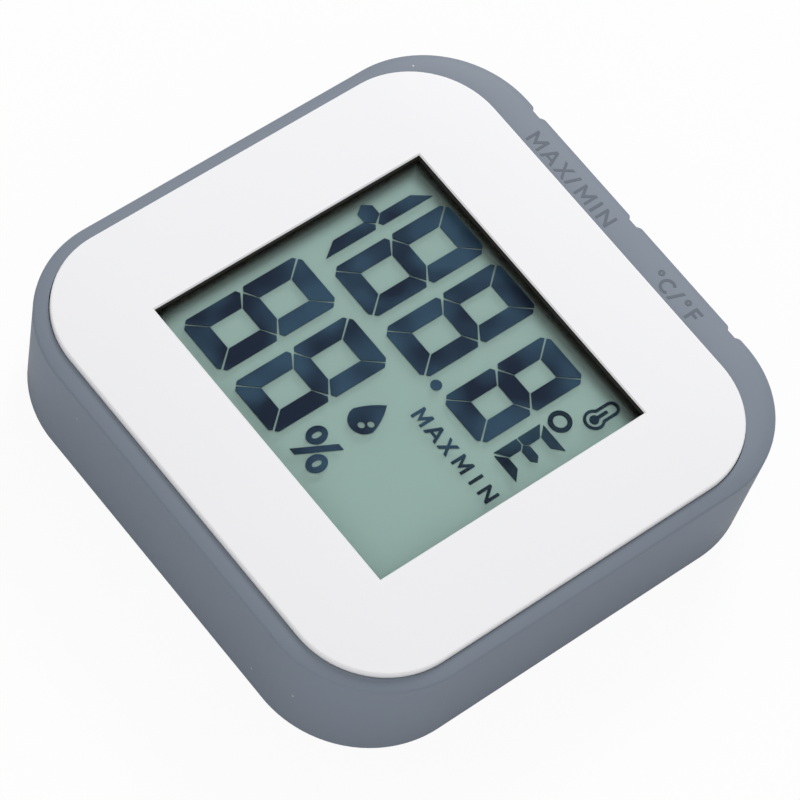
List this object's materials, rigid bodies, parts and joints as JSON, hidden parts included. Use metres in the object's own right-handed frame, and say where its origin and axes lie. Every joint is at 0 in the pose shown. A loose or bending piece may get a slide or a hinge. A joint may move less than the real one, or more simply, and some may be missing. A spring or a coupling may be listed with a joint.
{
  "type": "temperature humidity sensor",
  "caption": "Square desk thermometer and hygrometer with a segment display, a soft sleeve, upper edge keys, coin cell door and fold-out stand.",
  "frame": {"origin": "under the middle of the sleeve, on the surface the meter lies on with its display up", "axes": "+Z out of the display, +Y towards the edge with the keys, +X to the reader's right"},
  "size_m": [0.06, 0.0606, 0.014],
  "materials": {
    "sleeve_silicone": "satin blue-grey silicone",
    "white_shell": "fine satin white plastic",
    "black_foam": "matt foam",
    "display_glass": "thin clear display glass",
    "lcd_ink": "dark display figures",
    "reflector_film": "grey-green reflector",
    "holder_plastic": "moulded white",
    "zebra_rubber": "banded silicone",
    "board_laminate": "green solder mask",
    "switch_plastic": "black moulded",
    "plunger_plastic": "ivory moulded",
    "chip_resin": "black resin",
    "capacitor_ceramic": "fired ceramic",
    "steel_can": "plated",
    "sensor_plastic": "white moulded",
    "contact_steel": "nickel plated",
    "magnet_nickel": "nickel plated"
  },
  "bodies": {
    "root": {"silicone_sleeve": "sleeve_silicone", "front_case": "white_shell", "display_gasket": "black_foam", "lcd_front_glass": "display_glass", "lcd_segments": "lcd_ink", "lcd_rear_glass": "display_glass", "lcd_reflector": "reflector_film", "lcd_holder": "holder_plastic", "zebra_strip": "zebra_rubber", "circuit_board": "board_laminate", "max_min_switch": "switch_plastic", "unit_switch": "switch_plastic", "controller_chip": "chip_resin", "board_capacitors": "capacitor_ceramic", "crystal": "steel_can", "humidity_sensor": "sensor_plastic", "temperature_probe": "chip_resin", "back_case": "white_shell", "coin_cell": "steel_can", "negative_contact": "contact_steel", "positive_contact": "contact_steel", "stand_pin": "contact_steel", "magnets": "magnet_nickel", "case_screws": "contact_steel", "board_screws": "contact_steel"},
    "max_min_button": {"max_min_key": "sleeve_silicone", "max_min_plunger": "plunger_plastic"},
    "unit_button": {"unit_key": "sleeve_silicone", "unit_plunger": "plunger_plastic"},
    "door": {"battery_door": "white_shell"},
    "stand": {"stand_leg": "white_shell"}
  },
  "joints": [
    {"name": "max_min_press", "type": "slide", "parent": "root", "child": "max_min_button", "axis": [0, -1, 0], "range_m": [0, 0.0003], "stiffness_N_per_m": 3000},
    {"name": "unit_press", "type": "slide", "parent": "root", "child": "unit_button", "axis": [0, -1, 0], "range_m": [0, 0.0003], "stiffness_N_per_m": 3000},
    {"name": "door_turn", "type": "hinge", "parent": "root", "child": "door", "pos_m": [0, 0.008, 0.0012], "axis": [0, 0, 1], "range_deg": [0, 40]},
    {"name": "stand_swing", "type": "hinge", "parent": "root", "child": "stand", "pos_m": [0, -0.0076, 0.00175], "axis": [1, 0, 0], "range_deg": [0, 60]}
  ]
}
